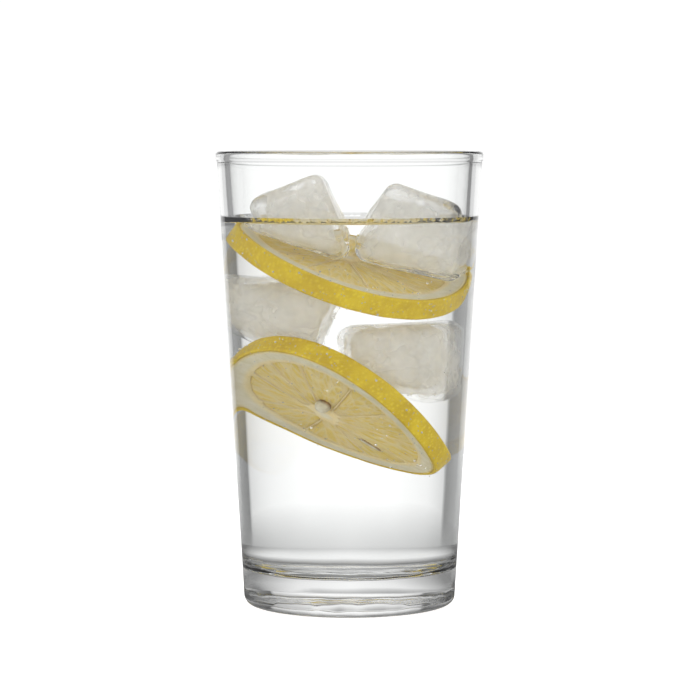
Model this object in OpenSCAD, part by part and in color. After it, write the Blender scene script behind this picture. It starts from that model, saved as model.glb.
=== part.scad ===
// Straight-sided pint glass holding water, four ice cubes and two round lemon slices.
// Millimetres. Z is up and the origin is the centre of the foot, on the table. The front faces -Y.
// The glass is one moulded piece. Water, ice and lemon are separate loose pieces inside it.

/* [Glass] */
// Height from the table to the top of the rim
glass_h = 148; // [130:1:170]
// Outside radius of the rim bead at its widest
rim_r = 43.6; // [40:0.1:48]
// Width of the rim bead from its inside to its outside
bead_w = 4.3; // [3:0.1:6]
// Radius of the two rounded edges of the rim bead
bead_r = 1.3; // [0.6:0.05:1.5]
// Outside radius of the wall just under the rim bead
body_r = 43.2; // [39:0.1:47]
// Outside radius of the wall just above the heel
foot_r = 34.6; // [30:0.1:40]
// Radius of the rounded heel around the foot
heel_r = 3; // [1:0.5:6]
// Thickness of the solid glass bottom
floor_z = 11.4; // [8:0.2:20]
// Inside radius of the cavity at its floor
floor_r = 30.6; // [25:0.1:35]
// Inside radius of the cavity just under the rim bead
neck_r = 39; // [35:0.1:43]
// Radius of the rounded corner between floor and wall
floor_corner_r = 6.5; // [1:0.5:8]
// Height of the hollow under the foot at its centre
push_up = 1.2; // [0.5:0.1:3]
// Radius of the hollow under the foot
push_up_r = 27; // [20:0.5:30]

/* [Water] */
// Height of the water surface above the table
water_z = 125.2; // [60:0.2:135]
// Radius of the curve where the water climbs the wall
meniscus_r = 3.6; // [2:0.1:5]

/* [Lemon slices] */
// Outside radius of the upper slice
upper_r = 30.6; // [24:0.1:33]
// Thickness of the upper slice
upper_t = 6.8; // [3:0.1:10]
// Sideways position of the middle of the upper slice
upper_x = -0.9; // [-2:0.1:1]
// Front-to-back position of the middle of the upper slice
upper_y = 0.6; // [-1:0.1:2]
// Height of the middle of the upper slice
upper_z = 110.3; // [109:0.1:112]
// Lean of the upper slice from level
upper_tilt = 24.7; // [0:0.1:60]
// Direction the upper slice leans towards, from +X
upper_turn = -38.2; // [-180:0.1:180]
// Outside radius of the lower slice
lower_r = 30.9; // [24:0.1:33]
// Thickness of the lower slice
lower_t = 6.5; // [3:0.1:10]
// Sideways position of the middle of the lower slice
lower_x = -0.7; // [-2:0.1:1]
// Front-to-back position of the middle of the lower slice
lower_y = 2.2; // [1:0.1:3]
// Height of the middle of the lower slice
lower_z = 65.9; // [64:0.1:67]
// Lean of the lower slice from level
lower_tilt = 43.8; // [0:0.1:60]
// Direction the lower slice leans towards, from +X
lower_turn = 33.2; // [-180:0.1:180]
// Thickness of the yellow rind
rind_w = 1.2; // [0.6:0.1:2.5]
// Width of the white pith ring inside the rind
pith_w = 5.3; // [2:0.1:6]
// Thickness of the membrane between two pulp segments
membrane_w = 0.7; // [0.3:0.05:1.5]
// Radius of the corners of a pulp segment
pulp_corner_r = 1.3; // [0.5:0.1:3]

/* [Ice] */
// Corner radius of the upper left cube
ice_upper_left_r = 3.5; // [2:0.1:6]
// Corner radius of the upper right cube
ice_upper_right_r = 4.2; // [2:0.1:6]
// Corner radius of the lower left cube
ice_lower_left_r = 4; // [2:0.1:6]
// Corner radius of the lower right cube
ice_lower_right_r = 4.3; // [2:0.1:6]

/* [Hidden] */
// Room left between two pieces that touch on the real object
fit_gap = 0.1;
// Room between the water and what it touches
water_gap = 0.15;
// Height at which the inside wall meets the rim bead
neck_z = glass_h - 5;
// Height at which the outside wall meets the rim bead
body_z = glass_h - 3.6;
// Height over which the wall widens into the rim bead
bead_step = 0.9;
bead_z = glass_h - bead_r;
bead_outer_r = rim_r - bead_r;
bead_inner_r = rim_r - bead_w + bead_r;
// Radius of the ball that hollows the foot
push_up_ball_r = (push_up_r * push_up_r + push_up * push_up) / (2 * push_up);
// Inside radius of the cavity at height z
function inner_r(z) = floor_r + (neck_r - floor_r) * (z - floor_z) / (neck_z - floor_z);
// Corner between floor and wall: where its arc is centred
corner_z = floor_z + floor_corner_r;
corner_r = inner_r(corner_z) - floor_corner_r;
// The water meets the wall at a shallow angle, so its arc is centred just short of tangent
meniscus_inset = 0.15;
meniscus_top = water_z + meniscus_r;
meniscus_centre_r = inner_r(water_z) - water_gap - meniscus_r + meniscus_inset;

upper_centre = [upper_x, upper_y, upper_z];
lower_centre = [lower_x, lower_y, lower_z];
// Off-centre middle of each slice, where its segments meet
upper_core = [-3, 2];
lower_core = [2.5, 8.5];
// Directions of the seams between segments, around the middle of the slice
upper_seams = [-175, -140, -101, -76, -35, 3, 43, 80, 115, 150];
lower_seams = [-201, -175, -151, -119, -95, -66, -27, 10, 63, 115];
// Each seed: distance from the core, direction, length, width, which face it shows in (1 upper, -1 lower),
// and how far its middle stands out of that face. One whose middle lies under the face is cut flush with it.
upper_seed = [9, 166, 6.5, 3, 1, -1];
lower_seed_1 = [10, -134, 6.2, 4.1, -1, 0.9];
lower_seed_2 = [13.5, -18, 7.5, 2.4, -1, -1];
far = 80;

// Corner balls of each ice cube: front four, then back four
ice_upper_left_balls = [
    [-26, -14, 126.3], [-27.8, -12, 130.2], [-11.5, -9, 136.8], [-3.5, -12, 117.5],
    [-26, -4, 128.3], [-27.5, -3, 130.8], [-10.8, 4, 137], [-3.5, 5, 122.3]
];
ice_upper_right_balls = [
    [5.5, -8, 116.8], [15, -8, 133.4], [32.2, -5, 127.4], [27, -8, 110.8],
    [5.5, 6, 120.4], [16, 7, 133.3], [31, 6, 127.4], [27, 6, 112.9]
];
ice_lower_left_balls = [
    [-25, -3, 101], [-27.5, -3, 103.5], [-6, -4, 100], [-11, -4, 90.5],
    [-26, 12, 94], [-26.5, 12, 104.5], [-5, 12, 103.5], [-11, 12, 83]
];
ice_lower_right_balls = [
    [1.7, -8.3, 83.2], [1.3, -7.7, 88], [22.3, -8.1, 88.6], [21.8, -7.8, 71.6],
    [2.7, 9.2, 74.3], [1.4, 8.7, 88.2], [22.1, 9, 89.2], [21.7, 8.1, 71.3]
];

$fn = 96;

// One moulded piece: tapered wall, rolled rim bead, thick bottom, rounded heel, hollow foot
module glass() {
    color([0.86, 0.92, 0.92, 0.35])
    rotate_extrude()
    difference() {
        union() {
            polygon([
                [0, 0],
                [foot_r - heel_r, 0],
                [foot_r, heel_r],
                [body_r, body_z],
                [rim_r, body_z + bead_step],
                [rim_r, bead_z],
                [bead_outer_r, glass_h],
                [bead_inner_r, glass_h],
                [rim_r - bead_w, bead_z],
                [neck_r, neck_z],
                [inner_r(corner_z), corner_z],
                [corner_r, floor_z],
                [0, floor_z]
            ]);
            translate([foot_r - heel_r, heel_r])
            circle(r = heel_r);
            for (r = [bead_outer_r, bead_inner_r]) {
                translate([r, bead_z])
                circle(r = bead_r);
            }
        }
        translate([corner_r, corner_z])
        circle(r = floor_corner_r);
        translate([0, push_up - push_up_ball_r])
        circle(r = push_up_ball_r);
    }
}

// Everything inside the cavity up to the water line, with the curved edge at the wall
module water_body() {
    rotate_extrude()
    difference() {
        union() {
            polygon([
                [0, floor_z + water_gap],
                [corner_r, floor_z + water_gap],
                [inner_r(corner_z) - water_gap, corner_z],
                [inner_r(meniscus_top) - water_gap, meniscus_top],
                [0, meniscus_top]
            ]);
            translate([corner_r, corner_z])
            circle(r = floor_corner_r - water_gap);
        }
        translate([0, water_z])
        square([meniscus_centre_r, meniscus_top]);
        translate([meniscus_centre_r, water_z + meniscus_r])
        circle(r = meniscus_r);
        translate([0, water_z + meniscus_r - meniscus_inset])
        square([far, meniscus_top]);
    }
}

// The water, with a close-fitting hollow around each loose piece
module water() {
    color([0.82, 0.92, 0.96, 0.3])
    difference() {
        water_body();
        at_upper_slice()
        cylinder(r = upper_r + water_gap, h = upper_t + 2 * water_gap, center = true);
        at_lower_slice()
        union() {
            cylinder(r = lower_r + water_gap, h = lower_t + 2 * water_gap, center = true);
            seed(lower_seed_1, lower_core, lower_t, water_gap);
        }
        ice_block(ice_upper_left_balls, ice_upper_left_r + water_gap);
        ice_block(ice_upper_right_balls, ice_upper_right_r + water_gap);
        ice_block(ice_lower_left_balls, ice_lower_left_r + water_gap);
        ice_block(ice_lower_right_balls, ice_lower_right_r + water_gap);
    }
}

// A melted cube: the skin around eight corner balls
module ice_block(balls, r) {
    hull()
    for (ball = balls) {
        translate(ball)
        sphere(r = r, $fn = 24);
    }
}

module ice_upper_left() {
    color([0.93, 0.95, 0.95, 0.6])
    ice_block(ice_upper_left_balls, ice_upper_left_r);
}

module ice_upper_right() {
    color([0.93, 0.95, 0.95, 0.6])
    ice_block(ice_upper_right_balls, ice_upper_right_r);
}

module ice_lower_left() {
    color([0.93, 0.95, 0.95, 0.6])
    ice_block(ice_lower_left_balls, ice_lower_left_r);
}

module ice_lower_right() {
    color([0.93, 0.95, 0.95, 0.6])
    ice_block(ice_lower_right_balls, ice_lower_right_r);
}

module at_upper_slice() {
    translate(upper_centre)
    rotate([0, upper_tilt, upper_turn])
    children();
}

module at_lower_slice() {
    translate(lower_centre)
    rotate([0, lower_tilt, lower_turn])
    children();
}

// The yellow outer ring of a slice, slightly barrelled like the fruit
module rind(r, t) {
    edge = 0.4;
    rotate_extrude()
    polygon([
        [r - rind_w, -t / 2],
        [r - edge, -t / 2],
        [r, -t / 6],
        [r, t / 6],
        [r - edge, t / 2],
        [r - rind_w, t / 2]
    ]);
}

// Outline of pulp segment number i, grown by extra
module pulp_outline(r, core, seams, i, extra) {
    start = seams[i - 1];
    end = i < len(seams) ? seams[i] : seams[0] + 360;
    middle = (start + end) / 2;
    offset(r = pulp_corner_r + extra)
    offset(delta = -pulp_corner_r - membrane_w / 2)
    intersection() {
        circle(r = r - rind_w - pith_w + membrane_w / 2);
        translate(core)
        polygon([
            [0, 0],
            far * [cos(start), sin(start)],
            far * [cos(middle), sin(middle)],
            far * [cos(end), sin(end)]
        ]);
    }
}

// White ring, membranes and core of a slice, in one piece, with a pocket for each segment
module pith(r, t, core, seams) {
    linear_extrude(height = t, center = true)
    difference() {
        circle(r = r - rind_w - fit_gap);
        for (i = [1 : len(seams)]) {
            pulp_outline(r, core, seams, i, fit_gap);
        }
    }
}

// A pip, pointed at the end towards the core, whole or cut off flush with the face of the slice
module seed(s, core, t, extra) {
    reach = s[5] > 0 ? extra + s[3] : extra;
    outline = [
        for (a = [-90 : 15 : 90])
        [(s[3] / 2 + extra) * cos(a) * (1 - 0.25 * sin(a)), (s[2] / 2 + extra) * sin(a)]
    ];
    intersection() {
        translate([core[0] + s[0] * cos(s[1]), core[1] + s[0] * sin(s[1]), s[4] * (t / 2 + s[5])])
        rotate([0, 0, s[1] + 180])
        rotate([0, 90, 0])
        rotate_extrude($fn = 48)
        polygon(outline);
        translate([-far / 2, -far / 2, -t / 2 - reach])
        cube([far, far, t + 2 * reach]);
    }
}

module upper_slice_rind() {
    color([0.93, 0.76, 0.12])
    at_upper_slice()
    rind(upper_r, upper_t);
}

module upper_slice_pith() {
    color([0.93, 0.91, 0.8])
    at_upper_slice()
    pith(upper_r, upper_t, upper_core, upper_seams);
}

module upper_slice_seed() {
    color([0.85, 0.78, 0.6])
    at_upper_slice()
    seed(upper_seed, upper_core, upper_t, 0);
}

module upper_slice_pulp(i) {
    color([0.92, 0.86, 0.5])
    at_upper_slice()
    difference() {
        linear_extrude(height = upper_t, center = true)
        pulp_outline(upper_r, upper_core, upper_seams, i, 0);
        if (i == 10) {
            seed(upper_seed, upper_core, upper_t, fit_gap);
        }
    }
}

module lower_slice_rind() {
    color([0.93, 0.76, 0.12])
    at_lower_slice()
    rind(lower_r, lower_t);
}

module lower_slice_pith() {
    color([0.93, 0.91, 0.8])
    at_lower_slice()
    pith(lower_r, lower_t, lower_core, lower_seams);
}

module lower_slice_seed_1() {
    color([0.85, 0.78, 0.6])
    at_lower_slice()
    seed(lower_seed_1, lower_core, lower_t, 0);
}

module lower_slice_seed_2() {
    color([0.85, 0.78, 0.6])
    at_lower_slice()
    seed(lower_seed_2, lower_core, lower_t, 0);
}

module lower_slice_pulp(i) {
    color([0.92, 0.86, 0.5])
    at_lower_slice()
    difference() {
        linear_extrude(height = lower_t, center = true)
        pulp_outline(lower_r, lower_core, lower_seams, i, 0);
        if (i == 3) {
            seed(lower_seed_1, lower_core, lower_t, fit_gap);
        }
        if (i == 7) {
            seed(lower_seed_2, lower_core, lower_t, fit_gap);
        }
    }
}

glass();
water();
ice_upper_left();
ice_upper_right();
ice_lower_left();
ice_lower_right();
upper_slice_rind();
upper_slice_pith();
upper_slice_seed();
upper_slice_pulp(1);  // upper_slice_pulp_1
upper_slice_pulp(2);  // upper_slice_pulp_2
upper_slice_pulp(3);  // upper_slice_pulp_3
upper_slice_pulp(4);  // upper_slice_pulp_4
upper_slice_pulp(5);  // upper_slice_pulp_5
upper_slice_pulp(6);  // upper_slice_pulp_6
upper_slice_pulp(7);  // upper_slice_pulp_7
upper_slice_pulp(8);  // upper_slice_pulp_8
upper_slice_pulp(9);  // upper_slice_pulp_9
upper_slice_pulp(10);  // upper_slice_pulp_10
lower_slice_rind();
lower_slice_pith();
lower_slice_seed_1();
lower_slice_seed_2();
lower_slice_pulp(1);  // lower_slice_pulp_1
lower_slice_pulp(2);  // lower_slice_pulp_2
lower_slice_pulp(3);  // lower_slice_pulp_3
lower_slice_pulp(4);  // lower_slice_pulp_4
lower_slice_pulp(5);  // lower_slice_pulp_5
lower_slice_pulp(6);  // lower_slice_pulp_6
lower_slice_pulp(7);  // lower_slice_pulp_7
lower_slice_pulp(8);  // lower_slice_pulp_8
lower_slice_pulp(9);  // lower_slice_pulp_9
lower_slice_pulp(10);  // lower_slice_pulp_10
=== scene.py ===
import math

import bmesh
import bpy
import numpy as np
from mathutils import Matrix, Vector, geometry, noise


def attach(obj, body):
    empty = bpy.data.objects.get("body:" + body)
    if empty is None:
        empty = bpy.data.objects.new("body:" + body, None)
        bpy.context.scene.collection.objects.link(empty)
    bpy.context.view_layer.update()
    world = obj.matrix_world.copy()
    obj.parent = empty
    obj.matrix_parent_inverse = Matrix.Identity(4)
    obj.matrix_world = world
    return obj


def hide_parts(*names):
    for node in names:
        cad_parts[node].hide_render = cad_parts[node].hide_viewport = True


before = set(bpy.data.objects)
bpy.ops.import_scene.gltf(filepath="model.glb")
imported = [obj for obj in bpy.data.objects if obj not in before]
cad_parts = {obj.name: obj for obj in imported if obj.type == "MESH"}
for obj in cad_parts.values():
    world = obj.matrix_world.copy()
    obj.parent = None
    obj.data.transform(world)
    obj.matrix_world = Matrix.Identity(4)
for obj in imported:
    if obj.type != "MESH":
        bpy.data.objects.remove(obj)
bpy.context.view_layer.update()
MM = 0.001
ROOT = "glass_and_water"        # the body that holds the glass and the water

# Sizes of the glass in mm, as in the CAD
GLASS_H = 148.0
RIM_R = 43.6
BEAD_W = 4.3
BEAD_R = 1.3
BEAD_Z = GLASS_H - BEAD_R
BODY = (43.2, 144.4)            # radius and height where the outside wall meets the rim bead
FOOT_R = 34.6
HEEL_R = 3.0
FLOOR_Z = 11.4
FLOOR_R = 30.6
NECK = (39.0, 143.0)            # radius and height where the inside wall meets the rim bead
CORNER_R = 6.5
PUSH_UP = 1.2
PUSH_UP_R = 27.0
WATER_Z = 125.2
MENISCUS_R = 3.6
RIND_W = 1.2


def inner_r(z):
    """Inside radius of the cavity at height z."""
    return FLOOR_R + (NECK[0] - FLOOR_R) * (z - FLOOR_Z) / (NECK[1] - FLOOR_Z)


# ---------------------------------------------------------------- mesh helpers

def make_object(name, verts, faces, materials, face_mats=None, smooth=True):
    """A mesh object from vertices in mm."""
    mesh = bpy.data.meshes.new(name)
    points = [tuple(v) for v in np.asarray(verts, float) * MM]
    mesh.from_pydata(points, [], [tuple(map(int, f)) for f in faces])
    for m in materials:
        mesh.materials.append(m)
    if face_mats is not None:
        mesh.polygons.foreach_set("material_index", np.asarray(face_mats, np.int32))
    mesh.polygons.foreach_set("use_smooth", np.full(len(mesh.polygons), smooth))
    mesh.update()
    obj = bpy.data.objects.new(name, mesh)
    bpy.context.scene.collection.objects.link(obj)
    return obj


def finish_piece(obj, body, slot, *nodes):
    """Ties a piece to its body and hides the CAD nodes it stands for. The slot is not used."""
    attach(obj, body)
    if nodes:
        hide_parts(*nodes)
    return obj


def coords(obj):
    """Vertices of an object in mm."""
    co = np.zeros(len(obj.data.vertices) * 3)
    obj.data.vertices.foreach_get("co", co)
    return co.reshape(-1, 3) / MM


def wobble(p, scale, seed=0.0):
    """Smooth noise of about -1..1 at points in mm."""
    return np.array([noise.noise(Vector((x / scale + seed, y / scale, z / scale))) for x, y, z in p])


def arc(cx, cz, r, a0, a1, n):
    """n points along an arc, angles in degrees."""
    angles = [math.radians(a) for a in np.linspace(a0, a1, n)]
    return [(cx + r * math.cos(a), cz + r * math.sin(a)) for a in angles]


def line(p, q, n):
    """n points from p to q."""
    return [(p[0] + (q[0] - p[0]) * t, p[1] + (q[1] - p[1]) * t) for t in np.linspace(0, 1, n)]


def circle_rows(rings, segs):
    """Vertices of one circle for each (radius, height), row after row."""
    ang = np.arange(segs) * 2 * math.pi / segs
    x = rings[:, 0:1] * np.cos(ang)
    y = rings[:, 0:1] * np.sin(ang)
    return np.stack([x, y, np.repeat(rings[:, 1:2], segs, 1)], 2).reshape(-1, 3)


def lathe(profile, segs):
    """Closed surface of revolution: (vertices, faces, profile step of each face).

    profile runs from the axis to the axis; the first and last point have r 0.
    """
    rings = np.array(profile[1:-1])
    verts = circle_rows(rings, segs)
    faces, owner = [], []
    n = len(rings)
    for i in range(n - 1):
        a, b = i * segs, (i + 1) * segs
        for k in range(segs):
            k2 = (k + 1) % segs
            faces.append((a + k, a + k2, b + k2, b + k))
            owner.append(i + 1)
    first, last = len(verts), len(verts) + 1
    verts = np.vstack([verts, [[0, 0, profile[0][1]], [0, 0, profile[-1][1]]]])
    for k in range(segs):
        k2 = (k + 1) % segs
        faces.append((first, k2, k))
        owner.append(0)
        faces.append((last, (n - 1) * segs + k, (n - 1) * segs + k2))
        owner.append(n)
    return verts, faces, np.array(owner)


# ---------------------------------------------------------------- materials

def new_material(name):
    """An empty material: (material, node tree, output node)."""
    m = bpy.data.materials.new(name)
    m.use_nodes = True
    m.node_tree.nodes.clear()
    out = m.node_tree.nodes.new("ShaderNodeOutputMaterial")
    return m, m.node_tree, out


def principled(nt, out, **values):
    """A principled shader; the values' names are its sockets' names."""
    p = nt.nodes.new("ShaderNodeBsdfPrincipled")
    for k, v in values.items():
        p.inputs[k.replace("_", " ")].default_value = v
    nt.links.new(p.outputs[0], out.inputs["Surface"])
    return p


def clear(name, ior, colour=(1, 1, 1, 1), rough=0.0):
    """See-through material. ior is relative to what lies on the other side of the face."""
    m, nt, out = new_material(name)
    p = principled(nt, out, Base_Color=colour, Roughness=rough, IOR=ior, Transmission_Weight=1.0)
    return m, nt, p


def bump(nt, p, scale, strength, distance, detail=3.0):
    """Noise that makes a surface slightly uneven."""
    tc = nt.nodes.new("ShaderNodeTexCoord")
    n = nt.nodes.new("ShaderNodeTexNoise")
    n.inputs["Scale"].default_value = scale
    n.inputs["Detail"].default_value = detail
    nt.links.new(tc.outputs["Object"], n.inputs["Vector"])
    b = nt.nodes.new("ShaderNodeBump")
    b.inputs["Strength"].default_value = strength
    b.inputs["Distance"].default_value = distance
    nt.links.new(n.outputs["Fac"], b.inputs["Height"])
    nt.links.new(b.outputs[0], p.inputs["Normal"])


def maths(nt, op, a, b=None):
    """A maths node; each input is a number or a socket."""
    n = nt.nodes.new("ShaderNodeMath")
    n.operation = op
    for i, v in enumerate((a, b)):
        if v is None:
            continue
        if isinstance(v, (int, float)):
            n.inputs[i].default_value = v
        else:
            nt.links.new(v, n.inputs[i])
    return n.outputs[0]


def map_range(nt, value, start, end):
    """0 at start and 1 at end."""
    n = nt.nodes.new("ShaderNodeMapRange")
    n.inputs["From Min"].default_value = start
    n.inputs["From Max"].default_value = end
    nt.links.new(value, n.inputs["Value"])
    return n


def ramp(nt, fac, stops):
    """Colour by position: stops are (position, (r, g, b))."""
    r = nt.nodes.new("ShaderNodeValToRGB")
    e = r.color_ramp.elements
    while len(e) > 1:
        e.remove(e[0])
    e[0].position, e[0].color = stops[0][0], (*stops[0][1], 1)
    for pos, col in stops[1:]:
        x = e.new(pos)
        x.color = (*col, 1)
    nt.links.new(fac, r.inputs["Fac"])
    return r.outputs["Color"]


glass_air, nt, p = clear("glass", 1.52, (0.985, 0.992, 0.988, 1))
bump(nt, p, 90.0, 0.02, 0.0002)
glass_water, nt, p = clear("glass_against_water", 1.14, (0.99, 0.995, 0.992, 1))
bump(nt, p, 90.0, 0.02, 0.0002)
water_top_mat, nt, p = clear("water_surface", 1.333)
# the faces of the glass and the ice already bend the light where they touch water
water_side_mat, nt, p = clear("water_side", 1.0)
ice_air, nt, p = clear("ice_in_air", 1.31, (0.99, 0.99, 0.985, 1), 0.03)
bump(nt, p, 260.0, 0.25, 0.0006)
ice_water, nt, p = clear("ice_in_water", 1.02, (0.99, 0.99, 0.985, 1), 0.05)
bump(nt, p, 260.0, 0.3, 0.0008)
bubble_mat, nt, p = clear("bubble", 1.33, (1, 1, 1, 1), 0.1)
p.inputs["Transmission Weight"].default_value = 0.55


def leafy(name, colour_of, translucent, rough, spec, bump_scale=1200.0):
    """Fruit tissue: light is partly passed on through it. colour_of builds the colour nodes."""
    m, nt, out = new_material(name)
    p = nt.nodes.new("ShaderNodeBsdfPrincipled")
    p.inputs["Roughness"].default_value = rough
    p.inputs["Specular IOR Level"].default_value = spec
    t = nt.nodes.new("ShaderNodeBsdfTranslucent")
    mix = nt.nodes.new("ShaderNodeMixShader")
    mix.inputs[0].default_value = translucent
    nt.links.new(p.outputs[0], mix.inputs[1])
    nt.links.new(t.outputs[0], mix.inputs[2])
    nt.links.new(mix.outputs[0], out.inputs["Surface"])
    colour = colour_of(nt)
    nt.links.new(colour, p.inputs["Base Color"])
    nt.links.new(colour, t.inputs["Color"])
    bump(nt, p, bump_scale, 0.3, 0.0002, 2.0)
    return m


def noise_fac(nt, scale, detail=4.0):
    """Noise of about 0..1 through the object."""
    tc = nt.nodes.new("ShaderNodeTexCoord")
    n = nt.nodes.new("ShaderNodeTexNoise")
    n.inputs["Scale"].default_value = scale
    n.inputs["Detail"].default_value = detail
    nt.links.new(tc.outputs["Object"], n.inputs["Vector"])
    return n.outputs["Fac"]


def grey_ramp(nt, fac, stops):
    """Brightness by position: stops are (position, brightness)."""
    return ramp(nt, fac, [(at, (v, v, v)) for at, v in stops])


def attribute_fac(nt, name):
    """A value stored on the vertices."""
    a = nt.nodes.new("ShaderNodeAttribute")
    a.attribute_name = name
    return a.outputs["Fac"]


def mix_colour(nt, fac, a, b):
    """Colour a where fac is 0 and b where it is 1; each is a colour or a socket."""
    m = nt.nodes.new("ShaderNodeMix")
    m.data_type = "RGBA"
    nt.links.new(fac, m.inputs["Factor"])
    for s, v in ((6, a), (7, b)):
        if isinstance(v, tuple):
            m.inputs[s].default_value = (*v, 1)
        else:
            nt.links.new(v, m.inputs[s])
    return m.outputs[2]


def rind_colour(nt):
    """Deep yellow in soft patches, lighter in the oil pores."""
    base = ramp(nt, noise_fac(nt, 130.0), [
        (0.3, (0.58, 0.38, 0.002)), (0.55, (0.68, 0.48, 0.003)), (0.75, (0.78, 0.58, 0.008))
    ])
    return mix_colour(nt, attribute_fac(nt, "pore"), base, (0.88, 0.72, 0.04))


def pith_colour(nt):
    """White ring outside, thin yellowish membranes inside, a touch of rind colour at the very edge."""
    white = ramp(nt, noise_fac(nt, 420.0), [(0.3, (0.80, 0.77, 0.56)), (0.7, (0.90, 0.88, 0.72))])
    skin = ramp(nt, noise_fac(nt, 300.0), [(0.3, (0.90, 0.78, 0.40)), (0.7, (0.94, 0.86, 0.56))])
    base = mix_colour(nt, attribute_fac(nt, "membrane"), white, skin)
    return mix_colour(nt, attribute_fac(nt, "edge"), base, (0.90, 0.74, 0.20))


def pulp_colour(nt):
    """Pale juice yellow, lighter where two juice sacs meet."""
    base = ramp(nt, noise_fac(nt, 300.0), [(0.3, (0.86, 0.72, 0.17)), (0.7, (0.93, 0.82, 0.32))])
    return mix_colour(nt, attribute_fac(nt, "edge"), base, (0.96, 0.90, 0.62))


def seed_colour(nt):
    """Cream, with a brown outline."""
    base = ramp(nt, noise_fac(nt, 500.0), [(0.35, (0.60, 0.54, 0.38)), (0.6, (0.72, 0.67, 0.50))])
    return mix_colour(nt, attribute_fac(nt, "edge"), base, (0.26, 0.14, 0.03))


rind_mat = leafy("lemon_rind", rind_colour, 0.12, rough=0.4, spec=0.15, bump_scale=900.0)
pith_mat = leafy("lemon_pith", pith_colour, 0.45, rough=0.7, spec=0.1)
pulp_mat = leafy("lemon_pulp", pulp_colour, 0.55, rough=0.3, spec=0.25, bump_scale=700.0)
seed_mat = leafy("lemon_seed", seed_colour, 0.2, rough=0.4, spec=0.2)


def cloud_material(name, low, high, scale, share):
    """A veil of trapped air inside the ice: white patches with gaps between them.

    Noise of the given scale is clear below low and covers the given share of the light above high.
    """
    m, nt, out = new_material(name)
    fac = noise_fac(nt, scale, 3.0)
    white = ramp(nt, noise_fac(nt, scale * 3), [(0.3, (0.975, 0.965, 0.935)), (0.7, (0.99, 0.985, 0.97))])
    d = nt.nodes.new("ShaderNodeBsdfDiffuse")
    t = nt.nodes.new("ShaderNodeBsdfTranslucent")
    nt.links.new(white, d.inputs["Color"])
    nt.links.new(white, t.inputs["Color"])
    body = nt.nodes.new("ShaderNodeMixShader")
    body.inputs[0].default_value = 0.6      # more light passes on than comes back
    nt.links.new(d.outputs[0], body.inputs[1])
    nt.links.new(t.outputs[0], body.inputs[2])
    cover = map_range(nt, fac, low, high)
    cover.inputs["To Max"].default_value = share
    see = nt.nodes.new("ShaderNodeBsdfTransparent")
    mix = nt.nodes.new("ShaderNodeMixShader")
    nt.links.new(cover.outputs[0], mix.inputs[0])
    nt.links.new(see.outputs[0], mix.inputs[1])
    nt.links.new(body.outputs[0], mix.inputs[2])
    nt.links.new(mix.outputs[0], out.inputs["Surface"])
    return m


cloud_mats = [
    cloud_material("ice_cloud_outer", 0.42, 0.70, 110.0, 0.5),
    cloud_material("ice_cloud_middle", 0.20, 0.75, 80.0, 0.5),
    cloud_material("ice_cloud_core", 0.10, 0.6, 60.0, 0.7),
]

# ---------------------------------------------------------------- the ice

ICE = ["ice_upper_left", "ice_upper_right", "ice_lower_left", "ice_lower_right"]
ICE_CONTACT = WATER_Z + 1.3   # height of the water line on a cube that stands out of the water
ice_meshes = {}               # node: (vertices, normals, triangles, which triangles are in air)


def remeshed(node, voxel):
    """The CAD node's shape as an even, smooth mesh: (vertices in mm, normals, faces)."""
    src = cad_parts[node]
    tmp = bpy.data.objects.new("tmp", src.data.copy())
    bpy.context.scene.collection.objects.link(tmp)
    even = tmp.modifiers.new("even", "REMESH")
    even.mode, even.voxel_size = "VOXEL", voxel * MM
    smooth = tmp.modifiers.new("smooth", "SMOOTH")
    smooth.factor, smooth.iterations = 0.5, 5
    dg = bpy.context.evaluated_depsgraph_get()
    mesh = bpy.data.meshes.new_from_object(tmp.evaluated_get(dg))
    co = np.zeros(len(mesh.vertices) * 3)
    mesh.vertices.foreach_get("co", co)
    no = np.zeros(len(mesh.vertices) * 3)
    mesh.vertices.foreach_get("normal", no)
    faces = [tuple(p.vertices) for p in mesh.polygons]
    bpy.data.objects.remove(tmp)
    return co.reshape(-1, 3) / MM, no.reshape(-1, 3), faces


for i, node in enumerate(ICE):
    co, no, faces = remeshed(node, 0.6)
    melted = 0.30 * wobble(co, 7.0, 3.1 * i) + 0.10 * wobble(co, 2.2, 9.0 + i)
    co = co + no * melted[:, None]
    bm = bmesh.new()
    vs = [bm.verts.new(v) for v in co]
    for f in faces:
        bm.faces.new([vs[k] for k in f])
    floats = "upper" in node      # stands out of the water, so its skin is split at the water line
    if floats:
        bmesh.ops.bisect_plane(bm, geom=bm.verts[:] + bm.edges[:] + bm.faces[:], dist=1e-5,
                               plane_co=(0, 0, ICE_CONTACT), plane_no=(0, 0, 1))
    bmesh.ops.triangulate(bm, faces=bm.faces[:])
    bm.verts.index_update()
    co = np.array([v.co[:] for v in bm.verts])
    tris = [tuple(v.index for v in f.verts) for f in bm.faces]
    bm.normal_update()
    no = np.array([v.normal[:] for v in bm.verts])
    bm.free()
    centre_z = np.array([co[list(t), 2].mean() for t in tris])
    above = (centre_z > ICE_CONTACT) if floats else np.zeros(len(tris), bool)
    ice_meshes[node] = (co, no, tris, above)
    obj = make_object(node + "_skin", co, tris, [ice_air, ice_water], np.where(above, 0, 1))
    finish_piece(obj, node, "ice", node)

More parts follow.
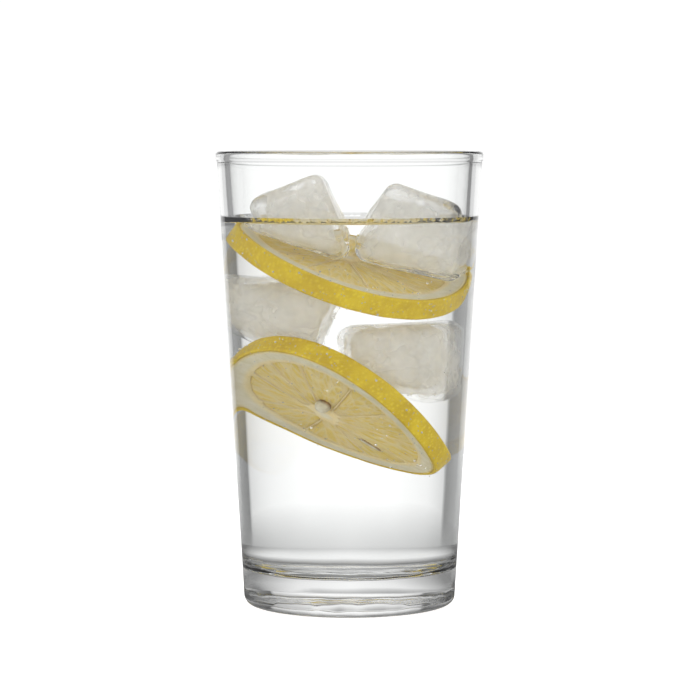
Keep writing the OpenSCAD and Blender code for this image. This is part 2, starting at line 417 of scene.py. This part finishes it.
# Trapped air: nested veils, off centre as each cube froze. Centre shift and size of the three veils.
CLOUDS = {
    "ice_upper_left": ((0.3, 0, -0.3), (0.96, 0.88, 0.72)),
    "ice_upper_right": ((-1.6, 0, -1.0), (0.92, 0.84, 0.74)),
    "ice_lower_left": ((0, 0, 0), (0.97, 0.90, 0.78)),
    "ice_lower_right": ((-0.4, 0, 1.0), (0.95, 0.86, 0.74)),
}
for node in ICE:
    co, no, tris, above = ice_meshes[node]
    c = (co.min(0) + co.max(0)) / 2
    shift, sizes = CLOUDS[node]
    for k, s in enumerate(sizes):
        v = c + (co - c) * s + np.array(shift) * (1 - s) * 5    # the inner veils are shifted most
        v = v + (wobble(v, 5.0, 20 + k) * 0.6)[:, None] * no
        obj = make_object(f"{node}_cloud_{k + 1}", v, tris, [cloud_mats[k]])
        finish_piece(obj, node, "ice")

# ---------------------------------------------------------------- the glass

contact_z = WATER_Z + 2.0     # the water climbs the wall to this height
foot_ring_r = FOOT_R - HEEL_R
ball_r = (PUSH_UP_R ** 2 + PUSH_UP ** 2) / (2 * PUSH_UP)
corner_z = FLOOR_Z + CORNER_R
corner_c = inner_r(corner_z) - CORNER_R
N = 2
outline = [(r, PUSH_UP - ball_r + math.sqrt(ball_r ** 2 - r * r)) for r in np.linspace(0, PUSH_UP_R, 10 * N)]
outline += line((PUSH_UP_R + 0.4, 0), (foot_ring_r, 0), 4)
outline += arc(foot_ring_r, HEEL_R, HEEL_R, -90, -3.4, 9 * N)[1:]
outline += line((FOOT_R, HEEL_R), BODY, 30 * N)[1:]
# a soft step from the wall into the bead
outline += [(BODY[0] + 0.08, BODY[1] + 0.3), (RIM_R - 0.08, BODY[1] + 0.7), (RIM_R, BODY[1] + 1.2)]
outline += arc(RIM_R - BEAD_R, BEAD_Z, BEAD_R, 0, 90, 8 * N)
outline += line((RIM_R - BEAD_R, GLASS_H), (RIM_R - BEAD_W + BEAD_R, GLASS_H), 3)[1:-1]
outline += arc(RIM_R - BEAD_W + BEAD_R, BEAD_Z, BEAD_R, 90, 180, 8 * N)
outline += line((RIM_R - BEAD_W, BEAD_Z), NECK, 4)[1:]
outline += line(NECK, (inner_r(contact_z), contact_z), 8 * N)[1:]
wet_from = len(outline) - 1   # from this step on the face touches water
outline += line((inner_r(contact_z), contact_z), (inner_r(corner_z), corner_z), 30 * N)[1:]
outline += arc(corner_c, corner_z, CORNER_R, -3.7, -90, 14 * N)[1:]
outline += [(r, FLOOR_Z) for r in np.linspace(corner_c, 0, 14 * N)[1:]]
SEGS = 288
verts, faces, owner = lathe(outline, SEGS)
rad = np.hypot(verts[:, 0], verts[:, 1])
is_inner = np.zeros(len(verts), bool)
is_inner[(wet_from - 1) * SEGS:len(verts) - 2] = True
floor_part = is_inner & (verts[:, 2] < corner_z + 0.5)
# moulded glass is never quite even: the wall, the floor of the cavity and the heel
wave = wobble(verts, 14.0, 5.0) * 0.05 * np.clip((GLASS_H - 12 - verts[:, 2]) / 10, 0, 1)
verts[:, 2] += np.where(floor_part, (wobble(verts, 9.0, 1.0) * 0.22 + wobble(verts, 3.0, 2.0) * 0.05), 0)
heel = (~is_inner) & (verts[:, 2] < 3.2) & (rad > 26.5)
ripple = (wobble(verts, 2.0, 8.0) * 0.05 + wobble(verts * [1, 1, 2.5], 5.0, 8.0) * 0.10)
outward = np.maximum(rad, 1)
heel_part = np.where(heel & (verts[:, 2] > 0.2), ripple, 0)
wall_part = np.where(rad > 5, wave, 0)
verts[:, :2] *= (1 + heel_part / outward + wall_part / outward)[:, None]
glass = make_object("glass_body", verts, faces, [glass_air, glass_water], np.where(owner >= wet_from, 1, 0))
finish_piece(glass, ROOT, "clear_glass", "glass")

# ---------------------------------------------------------------- the water

GAP = 0.05                    # between the water and what it touches, so that no two faces coincide
meniscus_c = (inner_r(WATER_Z) - MENISCUS_R, WATER_Z + MENISCUS_R)


def wall_climb(r):
    """Height of the water surface at radius r, from its level."""
    d = np.maximum(r - meniscus_c[0], 0)
    return np.where(r > meniscus_c[0], MENISCUS_R - np.sqrt(np.maximum(MENISCUS_R ** 2 - d * d, 0)), 0)


def water_loops():
    """Outlines in which the two upper cubes cut the water surface, and the wet skin of each."""
    out = []
    for node in ("ice_upper_left", "ice_upper_right"):
        co, no, tris, above = ice_meshes[node]
        wet = [t for t, a in zip(tris, above) if not a]
        skin = co + no * GAP
        sides = {}
        for t in wet:
            for a, b in ((t[0], t[1]), (t[1], t[2]), (t[2], t[0])):
                sides[(a, b)] = True
        # the outline is made of the sides that no second triangle shares
        nxt = {a: b for (a, b) in sides if (b, a) not in sides}
        start = next(iter(nxt))
        loop, v = [start], nxt[start]
        while v != start:
            loop.append(v)
            v = nxt[v]
        out.append((skin, wet, loop))
    return out


def inside(points, poly):
    """Which points lie inside an outline."""
    x, y = points[:, 0], points[:, 1]
    res = np.zeros(len(points), bool)
    n = len(poly)
    for i in range(n):
        (x0, y0), (x1, y1) = poly[i], poly[(i + 1) % n]
        hit = ((y0 > y) != (y1 > y)) & (x < (x1 - x0) * (y - y0) / ((y1 - y0) or 1e-12) + x0)
        res ^= hit
    return res


def edge_distance(points, poly):
    """Distance of each point to an outline."""
    p, q = np.array(poly), np.roll(np.array(poly), -1, 0)
    d = np.full(len(points), 1e9)
    for a, b in zip(p, q):
        ab = b - a
        t = np.clip(((points - a) @ ab) / max(ab @ ab, 1e-12), 0, 1)
        d = np.minimum(d, np.hypot(*(points - a - t[:, None] * ab).T))
    return d


def triangulated(outer, holes, spacing, seed, margin=0.5):
    """Even triangles over a flat outline with holes: (points, triangles, loops as index lists)."""
    loops, pts, edges = [], [], []
    for loop in [outer] + holes:
        base = len(pts)
        pts += [tuple(p) for p in loop]
        ids = list(range(base, base + len(loop)))
        loops.append(ids)
        edges += [(ids[k], ids[(k + 1) % len(ids)]) for k in range(len(ids))]
    lo, hi = np.min(outer, 0), np.max(outer, 0)
    gx, gy = np.meshgrid(np.arange(lo[0], hi[0], spacing), np.arange(lo[1], hi[1], spacing * 0.87))
    gx = gx + (np.arange(gx.shape[0]) % 2)[:, None] * spacing / 2
    grid = np.stack([gx.ravel(), gy.ravel()], 1)
    grid += np.random.default_rng(seed).uniform(-0.18, 0.18, grid.shape) * spacing
    ok = inside(grid, outer)
    for h in holes:
        ok &= ~inside(grid, h)
    grid = grid[ok]
    ok = edge_distance(grid, outer) > spacing * margin
    for h in holes:
        ok &= edge_distance(grid, h) > spacing * margin
    pts += [tuple(p) for p in grid[ok]]
    v, _, tris, orig, _, _ = geometry.delaunay_2d_cdt([Vector(p) for p in pts], edges, [], 0, 1e-7)
    v = np.array([p[:] for p in v])
    back = {}
    for i, o in enumerate(orig):
        for k in o:
            back[k] = i
    tris = np.array([t for t in tris if len(t) == 3])
    centre = v[tris].mean(1)
    keep = inside(centre, outer)
    for h in holes:
        keep &= ~inside(centre, h)
    tris = tris[keep]
    a, b, c = v[tris[:, 0]], v[tris[:, 1]], v[tris[:, 2]]
    area = (b[:, 0] - a[:, 0]) * (c[:, 1] - a[:, 1]) - (b[:, 1] - a[:, 1]) * (c[:, 0] - a[:, 0])
    tris[area < 0] = tris[area < 0][:, ::-1]
    return v, tris, [[back[k] for k in ids] for ids in loops]


loops = water_loops()
wsegs = 288
wall_top = contact_z - 0.03
ang = np.arange(wsegs) * 2 * math.pi / wsegs
r_edge = inner_r(wall_top) - GAP
rim = np.stack([r_edge * np.cos(ang), r_edge * np.sin(ang)], 1)
holes = [[tuple(skin[k, :2]) for k in loop] for skin, wet, loop in loops]
v2, tris, ids = triangulated(rim, holes, 0.9, 3)
r = np.hypot(v2[:, 0], v2[:, 1])
z = WATER_Z + wall_climb(np.minimum(r, meniscus_c[0] + MENISCUS_R * 0.985))
z = WATER_Z + (z - WATER_Z) * (wall_top - WATER_Z) / (wall_climb(np.array([r_edge]))[0] or 1)
# the surface also climbs the two cubes that stand out of it
for h in holes:
    z = np.maximum(z, WATER_Z + (ICE_CONTACT - WATER_Z) * np.exp(-edge_distance(v2, h) / 1.6))
z += 0.02 * wobble(np.column_stack([v2, np.zeros(len(v2))]), 12.0, 4.0)
for loop_ids in ids[1:]:
    z[loop_ids] = ICE_CONTACT
z[ids[0]] = wall_top
verts = [np.column_stack([v2, z])]
faces = [tuple(t) for t in tris]
mats = [0] * len(faces)
base = len(v2)
for (skin, wet, loop), loop_ids in zip(loops, ids[1:]):
    verts.append(skin)
    on_loop = dict(zip(loop, loop_ids))
    for t in wet:
        f = tuple(on_loop.get(k, base + k) for k in t)[::-1]
        faces.append(f)
        mats.append(1)
    base += len(skin)
side = line((inner_r(wall_top) - GAP, wall_top), (inner_r(corner_z) - GAP, corner_z), 24)[1:]
side += arc(corner_c, corner_z, CORNER_R - GAP, -3.7, -90, 20)[1:]
side += [(r0, FLOOR_Z + GAP) for r0 in np.linspace(corner_c, 0, 6)[1:-1]]
prev = list(ids[0])
for r0, z0 in side:
    cur = list(range(base, base + wsegs))
    verts.append(np.column_stack([r0 * np.cos(ang), r0 * np.sin(ang), np.full(wsegs, z0)]))
    base += wsegs
    for k in range(wsegs):
        k2 = (k + 1) % wsegs
        faces.append((prev[k2], prev[k], cur[k], cur[k2]))
        mats.append(1)
    prev = cur
verts.append(np.array([[0, 0, FLOOR_Z + GAP]]))
for k in range(wsegs):
    faces.append((prev[(k + 1) % wsegs], prev[k], base))
    mats.append(1)
verts = np.vstack(verts)
water = make_object("water_body", verts, faces, [water_top_mat, water_side_mat], mats)
bm = bmesh.new()
bm.from_mesh(water.data)
bmesh.ops.delete(bm, geom=[v for v in bm.verts if not v.link_faces], context="VERTS")
bm.to_mesh(water.data)
bm.free()
finish_piece(water, ROOT, "water", "water")

# ---------------------------------------------------------------- lemon slices

def slice_frame(node):
    """Centre, axes, radius and thickness of a slice, measured from its rind."""
    co = coords(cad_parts[node])
    c = (co.min(0) + co.max(0)) / 2
    # the vertices aren't spread evenly, so the centre is corrected a few times
    for _ in range(3):
        d = co - c
        n = np.linalg.svd(d, full_matrices=False)[2][2]
        n = n if n[2] > 0 else -n
        turn = math.atan2(n[1], n[0])
        tilt = math.acos(n[2])
        ex = np.array([math.cos(tilt) * math.cos(turn), math.cos(tilt) * math.sin(turn), -math.sin(tilt)])
        ey = np.array([-math.sin(turn), math.cos(turn), 0])
        m = np.stack([ex, ey, n])
        q = d @ m.T
        c = c + ((q.min(0) + q.max(0)) / 2) @ m
    q = (co - c) @ m.T
    return c, m, np.hypot(q[:, 0], q[:, 1]).max(), np.ptp(q[:, 2])


def left_turn(p, q, a):
    """Positive where p, q, a turn to the left."""
    return (q[0] - p[0]) * (a[1] - p[1]) - (q[1] - p[1]) * (a[0] - p[0])


def half_hull(points):
    """One side of the hull of sorted points."""
    out = []
    for a in points:
        while len(out) > 1 and left_turn(out[-2], out[-1], a) <= 1e-9:
            out.pop()
        out.append(a)
    return out[:-1]


def hull2d(p):
    """Convex outline of flat points."""
    p = sorted(set(map(tuple, np.round(p, 4))))
    return half_hull(p) + half_hull(p[::-1])


def resampled(poly, step):
    """The same closed outline with points about step apart."""
    poly = np.array(poly)
    q = np.vstack([poly, poly[:1]])
    seg = np.hypot(*(q[1:] - q[:-1]).T)
    s = np.concatenate([[0], np.cumsum(seg)])
    n = max(12, int(s[-1] / step))
    t = np.arange(n) * s[-1] / n
    return np.stack([np.interp(t, s, q[:, 0]), np.interp(t, s, q[:, 1])], 1)


def grown(outline, by):
    """An outline moved outwards, or inwards where by is negative."""
    d = np.roll(outline, -1, 0) - np.roll(outline, 1, 0)
    normal = np.stack([d[:, 1], -d[:, 0]], 1)
    normal /= np.linalg.norm(normal, axis=1)[:, None]
    return outline + by * normal


def plate(outer, holes, t, spacing, seed, height, round_r):
    """A closed plate of thickness t with rounded, uneven faces.

    height gives how far the face on one side (1 upper, -1 lower) stands out. Returns the vertices in the
    slice's own frame, the faces and the distance of each vertex to the edge.
    """
    v, tris, ids = triangulated(outer, holes, spacing, seed)
    n = len(v)
    edge = edge_distance(v, outer)
    for h in holes:
        edge = np.minimum(edge, edge_distance(v, h))
    fall = round_r * np.exp(-(edge / round_r) ** 1.2)
    top = np.column_stack([v, t / 2 - fall + height(v, 1)])
    low = np.column_stack([v, -t / 2 + fall - height(v, -1)])
    verts = [top, low]
    faces = [tuple(x) for x in tris] + [tuple(int(k) + n for k in x[::-1]) for x in tris]
    base = 2 * n
    edge = [edge, edge]
    for loop in ids:
        m = len(loop)
        rows = [loop]
        for frac in (0.66, 0.33):
            mid = np.column_stack([v[loop], top[loop, 2] * frac + low[loop, 2] * (1 - frac)])
            verts.append(mid)
            edge.append(np.zeros(m))
            rows.append(list(range(base, base + m)))
            base += m
        rows.append([k + n for k in loop])
        p, q = v[loop], np.roll(v[loop], -1, 0)
        area = (p[:, 0] * q[:, 1] - q[:, 0] * p[:, 1]).sum()
        # the solid lies to the left of its outline and to the right of a hole's
        hole = loop is not ids[0]
        ccw = (area > 0) != hole
        for a, b in zip(rows, rows[1:]):
            for k in range(m):
                k2 = (k + 1) % m
                faces.append((a[k2], a[k], b[k], b[k2]) if ccw else (a[k], a[k2], b[k2], b[k]))
    return np.vstack(verts), faces, np.concatenate(edge)


def set_attribute(obj, name, values):
    """Stores a value on each vertex for the materials."""
    a = obj.data.attributes.new(name, "FLOAT", "POINT")
    a.data.foreach_set("value", np.asarray(values, np.float32))


def vesicles(v, core, seed):
    """Juice sacs: long cells that point at the core. 0 on the seam between two cells, 1 well inside one."""
    r = np.random.default_rng(seed)
    rho, phi = np.hypot(*(v - core).T), np.arctan2(*(v - core).T[::-1])
    ref = math.atan2(np.sin(phi).mean(), np.cos(phi).mean())
    phi = (phi - ref + math.pi) % (2 * math.pi) - math.pi
    count = max(14, int((phi.max() - phi.min()) * (rho.max() ** 2) / 2 / 7.5))
    sr = np.sqrt(r.uniform(2.0 ** 2, (rho.max() + 2) ** 2, count))
    sp = r.uniform(phi.min() - 0.05, phi.max() + 0.05, count)
    length, width = 4.2, 0.95
    along = (rho[:, None] - sr) / length
    across = np.maximum(rho, 3)[:, None] * (phi[:, None] - sp) / width
    d = np.sqrt(along ** 2 + across ** 2)
    d.sort(1)
    return np.clip((d[:, 1] - d[:, 0]) * 1.3, 0, 1)


def build_rind(name, radius, t, seed, place):
    """The yellow ring, slightly barrelled, with oil pores and lumps in its skin."""
    inner = radius - RIND_W
    segs = 620
    half = t / 2
    # each edge: (how far in from the skin, how far from the face)
    edge = [(0.75, 0), (0.4, 0.06), (0.12, 0.4)]
    barrel = np.linspace(-1, 1, 18)
    prof = [(inner, -half)] + [(radius - x, -half + z) for x, z in edge]
    prof += [(radius - 0.03 * s ** 2, s * (half - 0.9)) for s in barrel]
    prof += [(radius - x, half - z) for x, z in edge[::-1]] + [(inner, half)]
    prof += [(inner, half - (t / 5) * k) for k in range(1, 5)]
    prof = np.array(prof)
    verts = circle_rows(prof, segs)
    skin = np.repeat((prof[:, 0] > radius - 0.5), segs)
    cells = np.ones(len(verts))
    for k in np.flatnonzero(skin):
        spot = Vector(verts[k]) / 1.15 + Vector((seed, 0, 0))
        cells[k] = noise.voronoi(spot, distance_metric="DISTANCE")[0][0]
    pore = np.clip(1 - cells / 0.42, 0, 1) * skin
    lump = wobble(verts, 6.0, seed) * 0.12 + wobble(verts, 1.6, seed + 5) * 0.05
    push = np.where(skin, lump - 0.12 * pore - 0.08, 0)
    verts[:, :2] *= (1 + push / np.hypot(verts[:, 0], verts[:, 1]))[:, None]
    cut = np.abs(verts[:, 2]) > half - 0.5
    verts[:, 2] += np.where(cut, wobble(verts * [1, 1, 0], 5.0, seed + 2) * 0.06, 0)
    n = len(prof)
    faces = []
    for i in range(n):
        b = (i + 1) % n
        for k in range(segs):
            k2 = (k + 1) % segs
            faces.append((i * segs + k, i * segs + k2, b * segs + k2, b * segs + k))
    obj = make_object(name + "_rind_ring", place(verts), faces, [rind_mat])
    set_attribute(obj, "pore", pore)
    finish_piece(obj, name, "lemon_rind", name + "_rind")


def build_pith(name, radius, t, seed, place, core, outlines):
    """The white ring with the membranes and the core, in one piece, with a hole for each segment."""
    inner = radius - RIND_W
    turns = np.linspace(0, 2 * math.pi, 240, endpoint=False)
    ring = [((inner - 0.08) * math.cos(x), (inner - 0.08) * math.sin(x)) for x in turns]
    holes = [grown(resampled(o, 0.5), 0.14) for o in outlines]

    def soft(v, side):
        p = np.column_stack([v, np.full(len(v), 5.0 * side)])
        return 0.06 * wobble(p, 2.6, seed + 1) + 0.03 * wobble(p, 0.9, seed + 3)

    verts, faces, _ = plate(ring, holes, t - 0.05, 0.6, seed, soft, 0.12)
    obj = make_object(name + "_pith_web", place(verts), faces, [pith_mat])
    from_middle = np.hypot(verts[:, 0], verts[:, 1])
    from_core = np.hypot(verts[:, 0] - core[0], verts[:, 1] - core[1])
    set_attribute(obj, "edge", np.clip((from_middle - (inner - 0.9)) / 0.9, 0, 1) * 0.8)
    between = np.clip((inner - 3.4 - from_middle) / 1.2, 0, 1) * np.clip((from_core - 1.2) / 1.5, 0, 1)
    set_attribute(obj, "membrane", between)
    finish_piece(obj, name, "lemon_pith", name + "_pith")


def build_pulp(name, i, outline, t, seed, place, core):
    """One segment, full of juice sacs that show in both of its faces."""
    o = grown(resampled(outline, 0.45), 0.08)

    def sacs(v, side):
        bulge = vesicles(v, core, seed * 100 + i * 10 + side) ** 0.6 - 0.75
        return 0.34 * bulge + 0.04 * wobble(np.column_stack([v, np.full(len(v), side * 3.0)]), 1.2, i)

    verts, faces, _ = plate(o, [], t - 0.25, 0.42, seed + i, sacs, 0.35)
    seam = np.zeros(len(verts))
    up = verts[:, 2] > 0
    seam[up] = 1 - vesicles(verts[up, :2], core, seed * 100 + i * 10 + 1)
    seam[~up] = 1 - vesicles(verts[~up, :2], core, seed * 100 + i * 10 - 1)
    obj = make_object(f"{name}_pulp_sacs_{i}", place(verts), faces, [pulp_mat])
    set_attribute(obj, "edge", np.clip(seam, 0, 1) ** 2 * 0.8)
    finish_piece(obj, name, "lemon_pulp", f"{name}_pulp_{i}")


def build_seed(name, node, c, m, t, seed):
    """A seed, whole where it stands well out of the face and otherwise cut with it."""
    q = (coords(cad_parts[node]) - c) @ m.T
    if np.abs(q[:, 2]).max() > t / 2 + 0.5:
        verts, _, faces = remeshed(node, 0.22)
        verts = verts + 0.04 * wobble(verts, 1.5, 2.0)[:, None]
        proud = np.abs(((verts - c) @ m.T)[:, 2]) - t / 2
        obj = make_object(node + "_whole", verts, faces, [seed_mat])
        set_attribute(obj, "edge", np.clip(1.3 - proud / 1.1, 0, 1))
    else:
        o = resampled(hull2d(q[:, :2]), 0.18)

        def crown(v, side):
            return 0.22 * np.sqrt(np.clip(edge_distance(v, o) / 1.2, 0, 1))

        verts, faces, edge = plate(o, [], np.ptp(q[:, 2]), 0.25, seed, crown, 0.3)
        verts[:, 2] += (q[:, 2].min() + q[:, 2].max()) / 2
        obj = make_object(node + "_cut", c + verts @ m, faces, [seed_mat])
        set_attribute(obj, "edge", np.clip(1.25 - edge / 0.55, 0, 1))
    finish_piece(obj, name, "lemon_seed", node)


def build_slice(name, seeds, seed):
    """All pieces of one slice. Returns its centre, axes, radius and thickness."""
    c, m, radius, t = slice_frame(name + "_rind")

    def place(q):
        return c + q @ m

    outlines = []
    for i in range(1, 11):
        pulp = (coords(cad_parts[f"{name}_pulp_{i}"]) - c) @ m.T
        outlines.append(hull2d(pulp[:, :2]))
    # the core lies in the middle of the segments' inner tips
    core = np.zeros(2)
    for _ in range(60):
        near = [min(o, key=lambda p: (p[0] - core[0]) ** 2 + (p[1] - core[1]) ** 2) for o in outlines]
        core = np.mean(near, 0)
    build_rind(name, radius, t, seed, place)
    build_pith(name, radius, t, seed, place, core, outlines)
    for i, outline in enumerate(outlines, 1):
        build_pulp(name, i, outline, t, seed, place, core)
    for s in seeds:
        build_seed(name, f"{name}_{s}", c, m, t, seed)
    return c, m, radius, t


slices = {
    "upper_slice": build_slice("upper_slice", ["seed"], 11),
    "lower_slice": build_slice("lower_slice", ["seed_1", "seed_2"], 23),
}

# ---------------------------------------------------------------- air bubbles

def spheres(name, centres, radii, body, slot):
    """Many small balls in one piece."""
    bm = bmesh.new()
    bmesh.ops.create_icosphere(bm, subdivisions=2, radius=1.0)
    sv = np.array([v.co[:] for v in bm.verts])
    sf = [tuple(v.index for v in f.verts) for f in bm.faces]
    bm.free()
    verts = np.concatenate([c + sv * r for c, r in zip(centres, radii)])
    faces = [tuple(k + i * len(sv) for k in f) for i in range(len(centres)) for f in sf]
    obj = make_object(name, verts, faces, [bubble_mat])
    return finish_piece(obj, body, slot)


# on the slices, most of them on the rind and the rest on the face that shows
for name, side, seed in (("upper_slice", 1, 5), ("lower_slice", -1, 6)):
    c, m, radius, t = slices[name]
    r = np.random.default_rng(seed)
    pts, rad = [], []
    for _ in range(260):
        a = r.uniform(0, 2 * math.pi)
        q = r.uniform()
        size = r.uniform(0.09, 0.21) + 0.2 * (r.uniform() > 0.95)
        if q < 0.6:
            rho = radius + size * 0.3
            p = np.array([rho * math.cos(a), rho * math.sin(a), r.uniform(-t / 2, t / 2)])
        else:
            rho = radius * math.sqrt(r.uniform(0.1, 1))
            p = np.array([rho * math.cos(a), rho * math.sin(a), side * (t / 2 + size * 0.3)])
        w = c + p @ m
        if w[2] < WATER_Z - 1:
            pts.append(w)
            rad.append(size)
    spheres(name + "_bubbles", pts, rad, name, "water")

# on and inside the ice
for node in ICE:
    co, no, tris, above = ice_meshes[node]
    r = np.random.default_rng(len(node))
    k = r.choice(len(co), 60, replace=False)
    k = k[co[k, 2] < WATER_Z - 0.5]
    size = r.uniform(0.1, 0.26, len(k))
    spheres(node + "_bubbles", co[k] + no[k] * (size * 0.2)[:, None], size, node, "water")
    c = (co.min(0) + co.max(0)) / 2
    k = r.choice(len(co), 90, replace=False)
    depth = r.uniform(0.55, 0.93, len(k))[:, None]
    spheres(node + "_trapped_air", c + (co[k] - c) * depth, r.uniform(0.08, 0.3, len(k)), node, "ice")

# ---------------------------------------------------------------- stage

FLOOR_RADIUS = 0.45
NEAR, FAR = 0.16, 0.42        # seen through the glass, the floor fades out between these radii
bm = bmesh.new()
bmesh.ops.create_circle(bm, cap_ends=True, radius=FLOOR_RADIUS, segments=128)
mesh = bpy.data.meshes.new("floor")
bm.to_mesh(mesh)
bm.free()
floor = bpy.data.objects.new("floor", mesh)
floor.location.z = -0.0001
bpy.context.scene.collection.objects.link(floor)
m, nt, out = new_material("floor")
# seen directly it is an even white
d = nt.nodes.new("ShaderNodeBsdfDiffuse")
d.inputs["Color"].default_value = (0.62, 0.62, 0.62, 1)
e = nt.nodes.new("ShaderNodeEmission")
e.inputs["Strength"].default_value = 0.66
white = nt.nodes.new("ShaderNodeAddShader")
nt.links.new(d.outputs[0], white.inputs[0])
nt.links.new(e.outputs[0], white.inputs[1])
# seen through the glass it glows with painted shade and shadow: brightest in front and behind, a painted
# shade darker to the sides and a painted shadow of the glass under the foot
tc = nt.nodes.new("ShaderNodeTexCoord")
sep = nt.nodes.new("ShaderNodeSeparateXYZ")
nt.links.new(tc.outputs["Object"], sep.inputs[0])
length = nt.nodes.new("ShaderNodeVectorMath")
length.operation = "LENGTH"
nt.links.new(tc.outputs["Object"], length.inputs[0])
radius = length.outputs["Value"]
fade = map_range(nt, radius, NEAR, FAR)
x_side = maths(nt, "ABSOLUTE", sep.outputs["X"])
y_side = maths(nt, "ABSOLUTE", sep.outputs["Y"])
aside = maths(nt, "DIVIDE", maths(nt, "ARCTAN2", x_side, y_side), math.pi / 2)
# painted shade: the floor is darker to the sides of the glass, where the dark panels of the light stand
painted_side_shade = grey_ramp(nt, aside, [(0, 0.95), (0.1, 0.85), (0.22, 0.58), (0.42, 0.26), (0.6, 0.17), (0.8, 0.42)])
RADIUS_SCALE = 0.5            # the positions below are shares of this radius
# painted shadow: the floor is dark under and close round the foot, as if the glass shaded it
painted_foot_shadow = grey_ramp(nt, maths(nt, "DIVIDE", radius, RADIUS_SCALE), [
    (0.06, 0.2), (0.11, 0.3), (0.15, 0.7), (0.17, 1.0), (0.2, 1.0), (0.34, 0.68), (0.5, 0.66)
])
# the painted shade and shadow glow as emitted light
painted_floor_shade = nt.nodes.new("ShaderNodeEmission")
nt.links.new(painted_side_shade, painted_floor_shade.inputs["Color"])
nt.links.new(painted_foot_shadow, painted_floor_shade.inputs["Strength"])
gone = nt.nodes.new("ShaderNodeBsdfTransparent")
soft = nt.nodes.new("ShaderNodeMixShader")
nt.links.new(fade.outputs[0], soft.inputs[0])
nt.links.new(painted_floor_shade.outputs[0], soft.inputs[1])
nt.links.new(gone.outputs[0], soft.inputs[2])
lp = nt.nodes.new("ShaderNodeLightPath")
scattered = maths(nt, "GREATER_THAN", lp.outputs["Diffuse Depth"], 0.5)
both = nt.nodes.new("ShaderNodeMixShader")
nt.links.new(maths(nt, "MAXIMUM", lp.outputs["Is Camera Ray"], scattered), both.inputs[0])
nt.links.new(soft.outputs[0], both.inputs[1])
nt.links.new(white.outputs[0], both.inputs[2])
nt.links.new(both.outputs[0], out.inputs["Surface"])
mesh.materials.append(m)

# ---------------------------------------------------------------- light

world = bpy.data.worlds.new("studio")
bpy.context.scene.world = world
world.use_nodes = True
nt = world.node_tree
nt.nodes.clear()
tc = nt.nodes.new("ShaderNodeTexCoord")
sep = nt.nodes.new("ShaderNodeSeparateXYZ")
nt.links.new(tc.outputs["Generated"], sep.inputs[0])
up = sep.outputs["Z"]
azimuth = maths(nt, "ARCTAN2", sep.outputs["X"], sep.outputs["Y"])   # 0 behind the glass, + to the right
turn = maths(nt, "DIVIDE", maths(nt, "ADD", azimuth, math.pi), 2 * math.pi)
# brightness round the horizon, by degrees from straight behind: a white wall with a dark panel on each side
ROUND = [
    (-180, 0.9), (-150, 1.0), (-115, 0.95), (-90, 0.9), (-75, 0.8), (-60, 0.55), (-45, 0.36), (-33, 0.2),
    (-31, 0.72), (-22, 0.95), (-10, 1.1), (10, 1.1), (22, 0.95), (36, 0.72),
    (38, 0.16), (48, 0.25), (60, 0.5), (75, 0.8), (90, 0.9), (115, 0.95), (150, 1.0), (180, 0.9)
]
around = grey_ramp(nt, turn, [((az + 180) / 360, v) for az, v in ROUND])
# brightness by height: white low down, a dark band above it, a bright tent overhead
height = grey_ramp(nt, up, [(0.04, 1.0), (0.16, 0.8), (0.36, 0.2), (0.6, 0.16), (0.8, 0.75), (1, 1.1)])
wall = nt.nodes.new("ShaderNodeMix")
wall.data_type = "RGBA"
wall.blend_type = "MULTIPLY"
wall.inputs["Factor"].default_value = 1
nt.links.new(around, wall.inputs[6])
nt.links.new(height, wall.inputs[7])
# steeply downwards it is dark, which draws the rim as a thin line
down = map_range(nt, up, -0.5, -0.8)
lowered = mix_colour(nt, down.outputs[0], wall.outputs[2], (0.12, 0.12, 0.12))
sharp = nt.nodes.new("ShaderNodeBackground")
nt.links.new(lowered, sharp.inputs["Color"])
# light that falls on the fruit and the cloudy ice: an even tent, brighter above
overhead = map_range(nt, up, -0.6, 0.8)
overhead.inputs["To Min"].default_value = 1.45
overhead.inputs["To Max"].default_value = 2.3
tent = nt.nodes.new("ShaderNodeBackground")
nt.links.new(overhead.outputs[0], tent.inputs["Strength"])
# the white ground behind everything
seen = nt.nodes.new("ShaderNodeBackground")
seen.inputs["Color"].default_value = (1.05, 1.05, 1.05, 1)
lp = nt.nodes.new("ShaderNodeLightPath")
bg = nt.nodes.new("ShaderNodeMixShader")
nt.links.new(maths(nt, "GREATER_THAN", lp.outputs["Diffuse Depth"], 0.5), bg.inputs[0])
nt.links.new(sharp.outputs[0], bg.inputs[1])
nt.links.new(tent.outputs[0], bg.inputs[2])
mix = nt.nodes.new("ShaderNodeMixShader")
nt.links.new(lp.outputs["Is Camera Ray"], mix.inputs[0])
nt.links.new(bg.outputs[0], mix.inputs[1])
nt.links.new(seen.outputs[0], mix.inputs[2])
out = nt.nodes.new("ShaderNodeOutputWorld")
nt.links.new(mix.outputs[0], out.inputs["Surface"])

# ---------------------------------------------------------------- camera

# a long lens from well in front, just above the height of the rim
cam = bpy.data.cameras.new("camera")
cam.sensor_width = 36
cam.lens = 149.8
camera = bpy.data.objects.new("camera", cam)
camera.location = (0, -0.950, 0.153)
camera.rotation_euler = (math.radians(90 - 4.208), 0, 0)
cam.shift_x = 0.5 / 700
bpy.context.scene.collection.objects.link(camera)
bpy.context.scene.camera = camera

scene = bpy.context.scene
scene.view_settings.view_transform = "Standard"
scene.view_settings.look = "None"
cy = scene.cycles
cy.max_bounces = 28
cy.transmission_bounces = 24
cy.glossy_bounces = 12
cy.diffuse_bounces = 12
cy.transparent_max_bounces = 32
cy.use_denoising = True
cy.sample_clamp_indirect = 8
